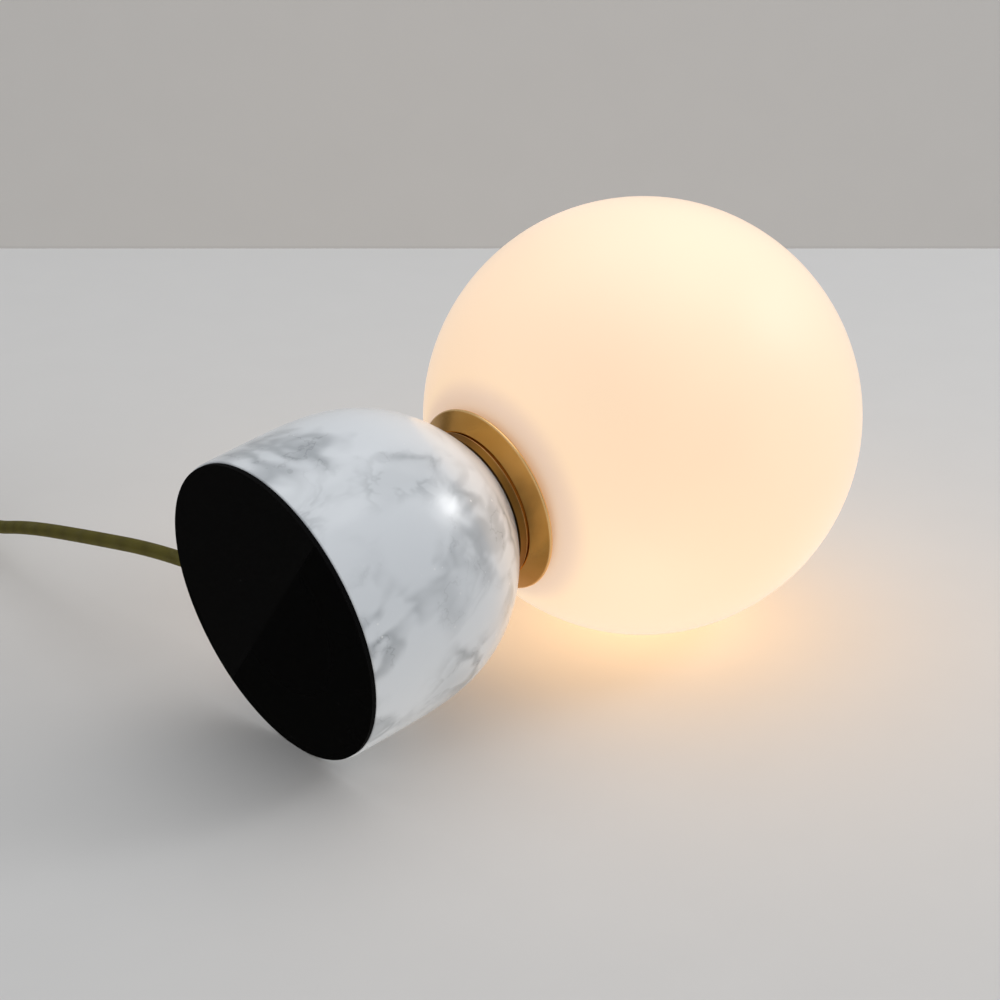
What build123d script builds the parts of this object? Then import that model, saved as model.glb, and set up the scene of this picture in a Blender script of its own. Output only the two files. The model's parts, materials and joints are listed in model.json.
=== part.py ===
from build123d import *
import math
import os

# Globe table lamp, in millimetres. The lamp stands upright: the origin is the centre of its underside, on
# the table, +Z is the lamp's axis, and the cord leaves the marble base towards +X.

# ---- clearances
thread_gap = 0.05  # around a thread, a screw's shank and a pressed-in sleeve
running_gap = 0.06  # around a pivot
slip_gap = 0.15  # around what is pushed through a hole
seat_gap = 0.3  # between a loose piece and what it rests on or turns beside

# ---- marble base and its pad
pad_thickness = 2.0
pad_inset = 0.7  # from the foot of the marble
belly_radius = 67.3
foot_inset = 0.3  # from the belly
belly_height = 30.0  # where the bell is widest, above the table
marble_height = 104.5
foot_rounding = 0.7
shoulder_rounding = 2.5
recess_radius = 38.0  # wiring recess in the underside
recess_depth = 22.0
tube_play = 1.0  # between the threaded tube and the marble

# ---- brass neck cup and dish
collar_radius = 34.5
collar_height = 4.5
collar_overhang = 1.5  # past the flat top of the marble
collar_chamfer = 0.8
cup_depth = 7.0  # sunk in the marble
cup_wall = 1.5
cup_floor = 2.0
cup_play = 0.5  # between the cup and the marble
dish_radius = 42.8
dish_rise = 5.0
dish_wall = 2.0
dish_lip = 0.9  # rounding of the rim
groove_width = 1.0
groove_height = 0.7

# ---- opal globe
globe_radius = 100.0
globe_wall = 3.0
neck_radius = 27.0
neck_length = 12.7
neck_play = 1.0  # between the glass neck and the brass
neck_rounding = 1.4
seat_thickness = 1.2  # silicone ring under the neck
seat_width = 4.5

# ---- threaded tube, nuts and fixing plate
tube_radius = 5.0
tube_bore = 3.5  # radius
nut_across_flats = 17.0
nut_height = 5.0
tube_stub = 2.0  # past the lower nut
plate_thickness = 1.5
plate_margin = 2.0  # between the plate and the recess wall

# ---- leaf springs that hold the globe's neck
spring_count = 3
spring_thickness = 0.6
spring_hub_radius = 12.0
spring_arm_width = 6.0
spring_foot_radius = 20.5
spring_height = 12.0
spring_start_angle = 60.0

# ---- lampholder
hub_radius = 12.0
hub_height = 6.5
hub_thread_height = 4.5
hub_lift = 0.4  # above the upper nut
holder_height = 18.0
holder_rounding = 1.2
lead_recess_radius = 6.0
lead_recess_depth = 4.0
pin_spacing = 9.0
well_radius = 2.0
contact_wall = 0.75
contact_length = 10.0
holder_screw_radius = 1.25
holder_screw_offset = 8.8
holder_screw_bite = 7.0

# ---- bulb
bulb_base_radius = 8.25
bulb_base_height = 10.0
bulb_pin_radius = 0.8
bulb_pin_length = 9.0
bulb_pin_root = 3.0  # inside the base
diffuser_radius = 8.0
diffuser_height = 44.0
diffuser_wall = 1.0
core_radius = 4.5
core_height = 36.0

# ---- cord, its bush and its grip
cord_radius = 3.3
cord_height = 11.0  # of the hole in the marble, above the table
cord_inner_end = 22.0  # from the lamp's axis
bush_radius = 5.2
bush_length = 15.0
bush_flange_radius = 7.0
bush_flange = 3.2
bush_proud = 0.9  # how far the flange stands out of the marble
grip_place = 29.0  # from the lamp's axis
grip_length = 8.0
grip_width = 19.0
grip_bar = 3.0
grip_squeeze_gap = 0.1  # between the cord and each half of the grip
grip_screw_offset = 6.6

# ---- terminal block, with the cord's cores on its +X side and the lamp's leads on its -X side
block_length = 20.0
block_width = 18.0
block_height = 13.5
block_x = -4.0
block_y = 21.0
pole_spacing = 9.0
pole_height = 4.0  # of the wires, above the block's lower face
terminal_side = 4.4
terminal_margin = 2.0  # between the brass and the block's ends
terminal_bore = 1.45
terminal_screw_radius = 1.3
terminal_screw_offset = 6.0
wire_grip_length = 7.0  # of a wire inside the block
core_wire_radius = 1.1
lead_wire_radius = 0.8
wire_bend = 3.0
screw_radius = 1.5  # M3
screw_head_radius = 2.6
screw_head_height = 1.7
block_screw_radius = 1.25

# ---- switch on the cord, in its own frame: X along the cord, Z up from the table
switch_x = 350.4
switch_y = 28.2
switch_heading = 44.0
switch_length = 64.0
switch_width = 25.0
switch_height = 19.0
switch_corner = 10.0
switch_edge = 2.2
switch_wall = 1.8
switch_split = 9.5  # height of the joint between the shells, and of the cord
switch_cord_bite = 7.0  # of the cord inside the shells
switch_screw_x = 13.0
switch_screw_y = 7.6
switch_boss_radius = 2.7
rocker_length = 16.4
rocker_width = 11.0
rocker_pivot_height = 15.0
rocker_crown = 4.4  # of the middle of its top, above the pivot
rocker_barrel = 3.6
rocker_tilt = 7.0  # each way from level
rocker_finger_radius = 1.0
rocker_finger_gap = 0.5  # above the seesaw contact
window_play = 0.9  # along the cord
lug_width = 2.0
lug_length = 5.0
pivot_pin_radius = 1.0
seesaw_length = 20.0
seesaw_width = 4.4
seesaw_thickness = 0.8
seesaw_pivot_height = 4.4
seesaw_barrel_radius = 1.0
post_length = 5.0
contact_plate = 1.0
contact_width = 5.0
contact_gap = 0.4
switch_terminal_x = 17.0
switch_terminal_length = 5.0
switch_terminal_side = 5.0
link_y = 7.4

# ---- plug, in its own frame: the pins point along +X from the face at X 0
plug_heading = 172.0
plug_length = 34.0
plug_width = 35.0
plug_thickness = 13.7
plug_shoulder = 12.0  # of full width behind the face
plug_tail_width = 15.0
plug_rounding = 3.0
plug_pin_radius = 2.0
plug_pin_core = 1.4
plug_pin_length = 19.0
plug_pin_spacing = 18.6
plug_pin_root = 9.0
plug_sleeve_length = 10.0
plug_sleeve_inset = 0.1  # of the sleeve inside the pin's outer radius
relief_length = 20.0
relief_root_radius = 5.6
relief_tip_radius = 4.2

# ---- coil of the put-away cord, and its tie
coil_x = 316.0
coil_y = 90.0
coil_turns = 3  # in each of the two layers
coil_middle_radius = 36.0
coil_gap = 0.6  # between turns and between layers
coil_lift = 1.5  # of the lower layer above the table, for the tie under it
coil_end_run = 6.6
tie_width = 12.0
tie_thickness = 1.0
tie_play = 0.25

# ---- heights that follow
recess_top = pad_thickness + recess_depth
marble_top = pad_thickness + marble_height
collar_top = marble_top + collar_height
cup_bottom = marble_top - cup_depth
cup_floor_top = cup_bottom + cup_floor
neck_bottom = cup_floor_top + seat_thickness + seat_gap
neck_top = neck_bottom + neck_length
globe_centre = neck_top + math.sqrt(globe_radius**2 - neck_radius**2)
plate_bottom = recess_top - plate_thickness
lower_nut_bottom = plate_bottom - nut_height
upper_nut_bottom = cup_floor_top + spring_thickness
hub_bottom = upper_nut_bottom + nut_height + hub_lift
hub_top = hub_bottom + hub_height
tube_bottom = lower_nut_bottom - tube_stub
tube_top = hub_bottom + hub_thread_height - slip_gap
holder_top = hub_top + holder_height
bulb_bottom = holder_top + seat_gap
bulb_shoulder = bulb_bottom + bulb_base_height
block_bottom = plate_bottom - block_height
wire_height = block_bottom + pole_height

# ---- radii and spacings that follow
foot_radius = belly_radius - foot_inset
pad_radius = foot_radius - pad_inset
cup_bore = neck_radius + neck_play
cup_radius = cup_bore + cup_wall
land_radius = collar_radius - collar_overhang
thread_hole = tube_radius + thread_gap
marble_bore = tube_radius + tube_play
cord_hole = cord_radius + slip_gap
neck_bore = neck_radius - globe_wall
coil_pitch = 2 * cord_radius + coil_gap
coil_outer = coil_middle_radius + coil_turns / 2 * coil_pitch
coil_low = coil_lift + cord_radius
coil_high = coil_low + coil_pitch
seesaw_top = seesaw_pivot_height + seesaw_barrel_radius + seesaw_thickness / 2

switch_place = Location((switch_x, switch_y, 0), (0, 0, switch_heading))
coil_place = Location((coil_x, coil_y, 0), (0, 0, 90))


def disc(radius, low, high, x=0.0, y=0.0):
    """A cylinder along Z, between two heights."""
    return Pos(x, y, low) * extrude(Circle(radius), high - low)


def ring(outer, inner, low, high, x=0.0, y=0.0):
    return disc(outer, low, high, x, y) - disc(inner, low, high, x, y)


def block(x, y, z):
    """A box from its three (low, high) pairs."""
    size = [high - low for low, high in (x, y, z)]
    middle = [(high + low) / 2 for low, high in (x, y, z)]
    return Pos(*middle) * Box(*size)


def rod_x(radius, start, stop, y=0.0, z=0.0):
    """A cylinder along X, between two places."""
    return Pos(start, y, z) * extrude(Plane.YZ * Circle(radius), stop - start)


def rod_y(radius, start, stop, x=0.0, z=0.0):
    return Pos(x, start, z) * extrude(Plane.XZ * Circle(radius), start - stop)


def turned(points):
    """A solid turned about Z from a closed outline of (radius, height) points."""
    outline = Plane.XZ * make_face(Polyline(*points, close=True))
    return revolve(outline, Axis.Z)


def nut(low, high):
    return Pos(0, 0, low) * extrude(
        RegularPolygon(nut_across_flats / 2, 6, major_radius=False) - Circle(thread_hole), high - low
    )


def swept(path, radius):
    """A round tube along a path."""
    section = Plane(origin=path @ 0, z_dir=path % 0) * Circle(radius)
    return sweep(section, path=path)


def corner_radii(points):
    """The largest arc for each corner of a route: 0.45 of its shorter run on each side."""
    radii = []
    for before, corner, after in zip(points, points[1:], points[2:]):
        run_in = Vector(*corner) - Vector(*before)
        run_out = Vector(*after) - Vector(*corner)
        half_turn = math.radians(run_in.get_angle(run_out)) / 2
        radii.append(0.45 * min(run_in.length, run_out.length) / math.tan(half_turn))
    return radii


def cord_tube(name, points):
    """The cord along a route: straight runs joined by arcs."""
    radii = corner_radii(points)
    path = FilletPolyline(*points, radius=radii)
    tube = swept(path, cord_radius)
    section = math.pi * cord_radius**2
    print(
        name, "radii", [round(r) for r in radii], "length", round(path.length, 1),
        "volume over section times length", round(tube.volume / section / path.length, 4),
    )
    return tube


def wire(points, radius, bend=wire_bend):
    """An insulated wire with small bends."""
    return swept(FilletPolyline(*points, radius=bend), radius)


def on_switch(x, z=switch_split):
    """A point on the switch's long axis, in the lamp's frame."""
    return tuple((switch_place * Pos(x, 0, z)).position)


# ---- base

def base_pad():
    return disc(pad_radius, 0, pad_thickness)


def marble_base():
    """The bell: a straight flank that curls in to the neck as the cube of the height."""
    rise = marble_top - belly_height
    flank = Bezier(
        (belly_radius, belly_height),
        (belly_radius, belly_height + rise / 3),
        (belly_radius, belly_height + rise * 2 / 3),
        (land_radius, marble_top),
    )
    foot = Bezier(
        (foot_radius, pad_thickness),
        (belly_radius, (pad_thickness + belly_height) / 2),
        (belly_radius, belly_height),
    )
    rest = Polyline(
        (land_radius, marble_top), (0, marble_top), (0, pad_thickness), (foot_radius, pad_thickness)
    )
    bell = revolve(Plane.XZ * make_face([foot, flank, rest]), Axis.Z)
    rims = bell.edges().filter_by(GeomType.CIRCLE).sort_by(Axis.Z)
    bell = fillet(rims[-1], shoulder_rounding)
    bell = fillet(bell.edges().filter_by(GeomType.CIRCLE).sort_by(Axis.Z)[0], foot_rounding)
    bell -= disc(recess_radius, pad_thickness, recess_top)
    bell -= disc(marble_bore, recess_top, marble_top)
    bell -= disc(cup_radius + cup_play, cup_bottom - seat_gap, marble_top)
    bell -= rod_x(bush_radius + slip_gap, 0, belly_radius, z=cord_height)
    seat = belly_radius + bush_proud - bush_flange
    bell -= rod_x(bush_flange_radius + slip_gap, seat, 2 * belly_radius, z=cord_height)
    return bell


def cord_bush():
    face = belly_radius + bush_proud
    seat = face - bush_flange
    flange = rod_x(bush_flange_radius, seat, face, z=cord_height)
    flange = fillet(flange.edges().filter_by(GeomType.CIRCLE).sort_by(Axis.X)[-1], bush_flange / 3)
    barrel = rod_x(bush_radius, seat - bush_length, seat, z=cord_height)
    return flange + barrel - rod_x(cord_hole, seat - bush_length, face, z=cord_height)


def fixing_plate():
    plate = ring(recess_radius - plate_margin, thread_hole, plate_bottom, recess_top)
    plate -= disc(block_screw_radius + thread_gap, plate_bottom, recess_top, block_x, block_y)
    for y in (-grip_screw_offset, grip_screw_offset):
        plate -= disc(screw_radius + thread_gap, plate_bottom, recess_top, grip_place, y)
    return plate


def threaded_tube():
    return ring(tube_radius, tube_bore, tube_bottom, tube_top)


# ---- cord grip: a block that hangs from the plate, and a saddle under the cord

def grip_x():
    return grip_place - grip_length / 2, grip_place + grip_length / 2


def grip_y():
    return -grip_width / 2, grip_width / 2


def cord_groove():
    low, high = grip_x()
    return rod_x(cord_radius + grip_squeeze_gap, low, high, z=cord_height)


def screw_holes(low, high):
    radius = screw_radius + thread_gap
    return [disc(radius, low, high, grip_place, side * grip_screw_offset) for side in (-1, 1)]


def cord_grip_block():
    low = cord_height + cord_radius / 2
    body = block(grip_x(), grip_y(), (low, plate_bottom))
    return body - cord_groove() - screw_holes(low, plate_bottom)


def saddle_heights():
    high = cord_height - cord_radius / 2
    return high - cord_radius / 2 - grip_bar, high


def cord_grip_saddle():
    low, high = saddle_heights()
    return block(grip_x(), grip_y(), (low, high)) - cord_groove() - screw_holes(low, high)


def screw(radius, head_radius, head_height, low, high, x, y):
    """A screw with its head at the lower end."""
    return disc(head_radius, low, low + head_height, x, y) + disc(radius, low + head_height, high, x, y)


def cord_grip_screws():
    low = saddle_heights()[0] - screw_head_height
    return [
        screw(screw_radius, screw_head_radius, screw_head_height, low, recess_top, grip_place, y)
        for y in (-grip_screw_offset, grip_screw_offset)
    ]


# ---- terminal block

def poles():
    """The places of the two poles across the block, neutral first, as it is the outer one."""
    return block_y + pole_spacing / 2, block_y - pole_spacing / 2


def terminal_screw_places():
    return [(block_x + side * terminal_screw_offset, y) for y in poles() for side in (-1, 1)]


def terminal_block():
    x = (block_x - block_length / 2, block_x + block_length / 2)
    y = (block_y - block_width / 2, block_y + block_width / 2)
    body = block(x, y, (block_bottom, plate_bottom))
    half = terminal_side / 2 + thread_gap
    for pole in poles():
        inner = (x[0] + terminal_margin - thread_gap, x[1] - terminal_margin + thread_gap)
        body -= block(inner, (pole - half, pole + half), (wire_height - half, wire_height + half))
        body -= rod_x(terminal_bore, *x, y=pole, z=wire_height)
    for place in terminal_screw_places():
        body -= disc(terminal_screw_radius + slip_gap, block_bottom, wire_height, *place)
    body -= disc(block_screw_radius + thread_gap, block_bottom, plate_bottom, block_x, block_y)
    sink = screw_head_height + slip_gap
    return body - disc(block_screw_head() + slip_gap, block_bottom, block_bottom + sink, block_x, block_y)


def block_screw_head():
    return 1.7 * block_screw_radius


def terminal_block_screw():
    return screw(
        block_screw_radius, block_screw_head(), screw_head_height, block_bottom, recess_top, block_x, block_y
    )


def terminal_tubes():
    half, reach = terminal_side / 2, block_length / 2 - terminal_margin
    tubes = []
    for pole in poles():
        x = (block_x - reach, block_x + reach)
        tube = block(x, (pole - half, pole + half), (wire_height - half, wire_height + half))
        tube -= rod_x(terminal_bore, *x, y=pole, z=wire_height)
        for place in terminal_screw_places():
            tube -= disc(terminal_screw_radius + thread_gap, block_bottom, wire_height, *place)
        tubes.append(tube)
    return tubes


def terminal_screws():
    """Grub screws under the wires. Those on the leads' side reach higher, as the leads are thinner."""
    screws = []
    for x, y in terminal_screw_places():
        wire_radius = core_wire_radius if x > block_x else lead_wire_radius
        tip = wire_height - wire_radius - thread_gap
        screws.append(disc(terminal_screw_radius, block_bottom + seat_gap, tip, x, y))
    return screws


def cord_core(pole, y, turn_x):
    """One core of the cord, from the end of its sheath into the terminal block."""
    entry = block_x + block_length / 2
    return wire(
        [
            (cord_inner_end, y, cord_height),
            (turn_x, y, cord_height),
            (turn_x, pole, wire_height),
            (entry - wire_grip_length, pole, wire_height),
        ],
        core_wire_radius,
    )


def cord_core_neutral():
    return cord_core(poles()[0], 1.5 * core_wire_radius, cord_inner_end - 1.5 * wire_bend)


def cord_core_live():
    turn = cord_inner_end - 1.5 * wire_bend - 3 * core_wire_radius
    return cord_core(poles()[1], -1.5 * core_wire_radius, turn)


def lamp_lead(pole, side, depth, reach):
    """A lead from its holder contact down the threaded tube, and round into the terminal block."""
    entry = block_x - block_length / 2
    inside = side * 1.5 * lead_wire_radius
    top = hub_top + lead_recess_depth
    return wire(
        [
            (side * pin_spacing / 2, 0, top + lead_wire_radius),
            (side * pin_spacing / 2, 0, hub_top + lead_wire_radius),
            (inside, 0, tube_top + lead_wire_radius),
            (inside, 0, depth),
            (entry - reach, pole / 2, depth),
            (entry - reach, pole, wire_height),
            (entry + wire_grip_length, pole, wire_height),
        ],
        lead_wire_radius,
        wire_bend / 2,
    )


def lamp_lead_neutral():
    low = wire_height - 4 * lead_wire_radius
    return lamp_lead(poles()[0], -1, low, wire_bend + 4 * lead_wire_radius)


def lamp_lead_live():
    return lamp_lead(poles()[1], 1, wire_height, wire_bend)


# ---- neck

def neck_cup():
    """Brass cup sunk in the marble, with a collar that rests on it."""
    chamfered = collar_radius - collar_chamfer
    return turned(
        [
            (thread_hole, cup_bottom),
            (cup_radius, cup_bottom),
            (cup_radius, marble_top),
            (collar_radius, marble_top),
            (collar_radius, collar_top - collar_chamfer),
            (chamfered, collar_top),
            (cup_bore, collar_top),
            (cup_bore, cup_floor_top),
            (thread_hole, cup_floor_top),
        ]
    )


def dish():
    """Brass cone on the collar, with a shadow groove under it and a round rim."""
    groove_inner = collar_radius - collar_chamfer - groove_width / 2
    low = collar_top + groove_height
    slope = math.atan2(dish_rise, dish_radius - collar_radius)
    lift = dish_wall / math.cos(slope)
    rim_inner = dish_radius - dish_wall * math.sin(slope)
    rim_low = low + dish_rise
    bend = collar_radius - (lift - dish_wall) / math.tan(slope)
    body = turned(
        [
            (cup_bore, collar_top),
            (groove_inner, collar_top),
            (groove_inner, low),
            (collar_radius, low),
            (dish_radius, rim_low),
            (rim_inner, rim_low + dish_wall * math.cos(slope)),
            (bend, low + dish_wall),
            (cup_bore, low + dish_wall),
        ]
    )
    rims = body.edges().filter_by(GeomType.CIRCLE).sort_by(SortBy.RADIUS)[-2:]
    return fillet(rims, dish_lip)


def seat_ring():
    outer = cup_bore - slip_gap
    return ring(outer, outer - seat_width, cup_floor_top, cup_floor_top + seat_thickness)


def neck_spring():
    """A hub under the upper nut, with bowed arms that press the glass neck from inside."""
    t, foot = spring_thickness, spring_foot_radius
    low = cup_floor_top
    belly = neck_bore - seat_gap
    spring = ring(spring_hub_radius, thread_hole, low, low + t)
    mid, top = low + spring_height / 2, low + spring_height
    arm = make_face(
        Polyline(
            (spring_hub_radius - t, low), (foot, low), (belly, mid), (foot, top),
            (foot - t, top), (belly - t, mid), (foot - t, low + t), (spring_hub_radius - t, low + t), close=True,
        )
    )
    solid = extrude(Plane.XZ * arm, spring_arm_width / 2, both=True)
    for index in range(spring_count):
        spring += Rot(0, 0, spring_start_angle + index * 360 / spring_count) * solid
    return spring


def globe_glass():
    """A hollow ball with a straight neck, which hangs in the cup."""
    inner = globe_radius - globe_wall
    ball = Sphere(globe_radius) + disc(neck_radius, neck_bottom - globe_centre, 0)
    joint = ball.edges().filter_by(GeomType.CIRCLE).sort_by(Axis.Z)[1]
    ball = fillet(joint, neck_rounding)
    ball -= Sphere(inner)
    ball -= disc(neck_bore, neck_bottom - globe_centre, 0)
    lip = ball.edges().filter_by(GeomType.CIRCLE).sort_by(Axis.Z)[:2]
    return Pos(0, 0, globe_centre) * fillet(lip, neck_rounding / 2)


# ---- lampholder and bulb

def holder_screw_places():
    return [(0, side * holder_screw_offset) for side in (-1, 1)]


def holder_hub():
    """Brass hub on the threaded tube's end, with sunk holes for the holder's screws."""
    hub = disc(hub_radius, hub_bottom, hub_top)
    hub -= disc(thread_hole, hub_bottom, hub_bottom + hub_thread_height)
    hub -= disc(lead_recess_radius, hub_bottom + hub_thread_height, hub_top)
    for place in holder_screw_places():
        hub -= disc(holder_screw_radius + thread_gap, hub_bottom, hub_top, *place)
        sink = screw_head_height + slip_gap
        hub -= disc(holder_screw_head() + slip_gap, hub_bottom, hub_bottom + sink, *place)
    return hub


def holder_screw_head():
    return 1.7 * holder_screw_radius


def holder_screws():
    high = hub_top + holder_screw_bite
    return [
        screw(holder_screw_radius, holder_screw_head(), screw_head_height, hub_bottom, high, *place)
        for place in holder_screw_places()
    ]


def holder_body():
    """Ceramic lampholder with two wells for the bulb's pins."""
    body = disc(hub_radius, hub_top, holder_top)
    body = fillet(body.edges().filter_by(GeomType.CIRCLE).sort_by(Axis.Z)[-1], holder_rounding)
    body -= disc(lead_recess_radius, hub_top, hub_top + lead_recess_depth)
    for side in (-1, 1):
        body -= disc(well_radius, hub_top + lead_recess_depth, holder_top, side * pin_spacing / 2)
    hole_top = hub_top + holder_screw_bite + seat_gap
    for place in holder_screw_places():
        body -= disc(holder_screw_radius + thread_gap, hub_top, hole_top, *place)
    return body


def holder_contacts():
    low = hub_top + lead_recess_depth
    outer = well_radius - thread_gap
    return [
        ring(outer, outer - contact_wall, low, low + contact_length, side * pin_spacing / 2)
        for side in (-1, 1)
    ]


def bulb_base():
    base = disc(bulb_base_radius, bulb_bottom, bulb_shoulder)
    base = fillet(base.edges().filter_by(GeomType.CIRCLE), diffuser_wall)
    for side in (-1, 1):
        base -= disc(bulb_pin_radius, bulb_bottom, bulb_bottom + bulb_pin_root, side * pin_spacing / 2)
    return base


def bulb_pins():
    low, high = bulb_bottom - bulb_pin_length, bulb_bottom + bulb_pin_root
    pins = [disc(bulb_pin_radius, low, high, side * pin_spacing / 2) for side in (-1, 1)]
    return [fillet(pin.edges().sort_by(Axis.Z)[0], bulb_pin_radius / 2) for pin in pins]


def bulb_core():
    """The stick that carries the light-emitting strips."""
    return disc(core_radius, bulb_shoulder, bulb_shoulder + core_height)


def capsule(radius, low, high):
    """A cylinder with a round top."""
    return disc(radius, low, high - radius) + Pos(0, 0, high - radius) * Sphere(radius)


def bulb_diffuser():
    high = bulb_shoulder + diffuser_height
    shell = capsule(diffuser_radius, bulb_shoulder, high)
    return shell - capsule(diffuser_radius - diffuser_wall, bulb_shoulder, high - diffuser_wall)


# ---- switch, built in its own frame

def switch_outline(inset=0.0):
    length, width = switch_length - 2 * inset, switch_width - 2 * inset
    return RectangleRounded(length, width, switch_corner - inset)


def switch_ways():
    """The round ways for the cord, through both ends of the shells."""
    half = switch_length / 2
    inner = half - switch_wall - switch_edge
    return [
        rod_x(cord_hole, *span, z=switch_split) for span in ((-half, -inner), (inner, half))
    ]


def switch_screw_places():
    return [(side * switch_screw_x, -switch_screw_y) for side in (-1, 1)]


def switch_cavity(low, high):
    return Pos(0, 0, low) * extrude(switch_outline(switch_wall), high - low)


def switch_base_shell():
    shell = extrude(switch_outline(), switch_split)
    shell = fillet(shell.edges().group_by(Axis.Z)[0], switch_edge)
    shell -= switch_cavity(switch_wall, switch_split)
    sink = switch_wall + screw_head_height
    for place in switch_screw_places():
        shell += disc(switch_boss_radius, switch_wall / 2, switch_split, *place)
    for place in switch_screw_places():
        shell -= disc(block_screw_radius + thread_gap, 0, switch_split, *place)
        shell -= disc(block_screw_head() + slip_gap, 0, sink, *place)
    return shell - switch_ways()


def lug_span():
    low = rocker_width / 2 + seat_gap
    return low, low + lug_width


def switch_cover_shell():
    shell = Pos(0, 0, switch_split) * extrude(switch_outline(), switch_height - switch_split)
    shell = fillet(shell.edges().group_by(Axis.Z)[-1], switch_edge)
    shell -= switch_cavity(switch_split, switch_height - switch_wall)
    for place in switch_screw_places():
        shell += disc(switch_boss_radius, switch_split, switch_height - switch_wall / 2, *place)
    for place in switch_screw_places():
        shell -= disc(block_screw_radius + thread_gap, switch_split, switch_height - switch_wall, *place)
    window = (rocker_length / 2 + window_play, rocker_width / 2 + seat_gap)
    low, high = lug_span()
    lug_bottom = rocker_pivot_height - 2 * pivot_pin_radius
    for side in (-1, 1):
        y = sorted((side * low, side * high))
        shell += block((-lug_length / 2, lug_length / 2), y, (lug_bottom, switch_height - switch_wall / 2))
    shell -= block((-window[0], window[0]), (-window[1], window[1]), (switch_split, switch_height))
    shell -= rod_y(pivot_pin_radius + thread_gap, -high, high, z=rocker_pivot_height)
    return shell - switch_ways()


def switch_pivot_pin():
    reach = lug_span()[1]
    return rod_y(pivot_pin_radius, -reach, reach, z=rocker_pivot_height)


def switch_rocker():
    """A rocker with two facets, tilted to its on position."""
    half = rocker_length / 2
    tip = rocker_crown + half * math.tan(math.radians(rocker_tilt))
    profile = make_face(
        Polyline(
            (-half, tip), (0, rocker_crown), (half, tip), (half - 1, 0), (rocker_barrel, -rocker_barrel),
            (-rocker_barrel, -rocker_barrel), (1 - half, 0), close=True,
        )
    )
    body = extrude(Plane.XZ * profile, rocker_width / 2, both=True)
    drop = rocker_pivot_height - seesaw_top - rocker_finger_gap
    body += disc(rocker_finger_radius, -drop + rocker_finger_radius, -rocker_barrel / 2)
    body += Pos(0, 0, -drop + rocker_finger_radius) * Sphere(rocker_finger_radius)
    body -= rod_y(pivot_pin_radius + running_gap, -rocker_width, rocker_width)
    return Pos(0, 0, rocker_pivot_height) * Rot(0, -rocker_tilt, 0) * body


def switch_seesaw():
    """The moving contact: a strip on a barrel, tilted onto the closed side."""
    low = seesaw_barrel_radius - seesaw_thickness / 2
    strip = block(
        (-seesaw_length / 2, seesaw_length / 2),
        (-seesaw_width / 2, seesaw_width / 2),
        (low, low + seesaw_thickness),
    )
    body = strip + rod_y(seesaw_barrel_radius, -seesaw_width / 2, seesaw_width / 2)
    return Pos(0, 0, seesaw_pivot_height) * Rot(0, rocker_tilt, 0) * body


def switch_terminal(side, y=0.0):
    """A brass cube with a hole for a wire, on the shell's floor."""
    half, wide = switch_terminal_length / 2, switch_terminal_side / 2
    middle = side * switch_terminal_x
    x, z = (middle - half, middle + half), (switch_wall, switch_wall + switch_terminal_side)
    return block(x, (y - wide, y + wide), z) - rod_x(terminal_bore, *x, y=y, z=sum(z) / 2)


def contact_strip(start, stop, y=0.0):
    wide = contact_width / 2
    return block(sorted((start, stop)), (y - wide, y + wide), (switch_wall, switch_wall + contact_plate))


def switch_fixed_contact():
    """The contact under the closed end of the seesaw, with its terminal."""
    inner = switch_terminal_x - switch_terminal_length / 2
    tilt = math.radians(rocker_tilt)
    under = seesaw_barrel_radius - seesaw_thickness / 2
    tip = seesaw_pivot_height + under * math.cos(tilt) - seesaw_length / 2 * math.sin(tilt)
    stud = block(
        (seesaw_length / 2 - contact_width / 2, seesaw_length / 2 + contact_width / 4),
        (-contact_width / 2, contact_width / 2),
        (switch_wall, tip - contact_gap),
    )
    return switch_terminal(1) + contact_strip(seesaw_length / 2 - contact_width / 2, inner) + stud


def switch_common_contact():
    """The post under the seesaw's barrel, with its terminal."""
    half, wide = post_length / 2, seesaw_width / 2
    post = block((-half, half), (-wide, wide), (switch_wall, seesaw_pivot_height))
    post -= rod_y(seesaw_barrel_radius + running_gap, -wide, wide, z=seesaw_pivot_height)
    inner = switch_terminal_x - switch_terminal_length / 2
    return post + contact_strip(-half, -inner) + switch_terminal(-1)


def switch_neutral_link():
    inner = switch_terminal_x - switch_terminal_length / 2
    link = contact_strip(-inner, inner, link_y)
    return link + switch_terminal(-1, link_y) + switch_terminal(1, link_y)


def switch_cores(y_start, y_terminal):
    """Two short cores, from the cord's sheath at each end to the terminals."""
    sheath = switch_length / 2 - switch_cord_bite
    low = switch_wall + switch_terminal_side / 2
    cores = []
    for side in (-1, 1):
        points = [
            (side * sheath, y_start, switch_split),
            (side * (sheath - 1.2 * core_wire_radius), y_start, switch_split),
            (side * (switch_terminal_x + switch_terminal_length / 2 + core_wire_radius), y_terminal, low),
            (side * switch_terminal_x, y_terminal, low),
        ]
        cores.append(wire(points, core_wire_radius, core_wire_radius))
    return cores


def switch_live_cores():
    return switch_cores(-1.5 * core_wire_radius, 0.0)


def switch_neutral_cores():
    return switch_cores(1.5 * core_wire_radius, link_y)


def switch_shell_screws():
    high = switch_height - 2 * switch_wall
    return [
        screw(block_screw_radius, block_screw_head(), screw_head_height, switch_wall, high, *place)
        for place in switch_screw_places()
    ]


# ---- plug, built in its own frame

def plug_axis():
    return plug_thickness / 2


def plug_pin_places():
    return [side * plug_pin_spacing / 2 for side in (-1, 1)]


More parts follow.
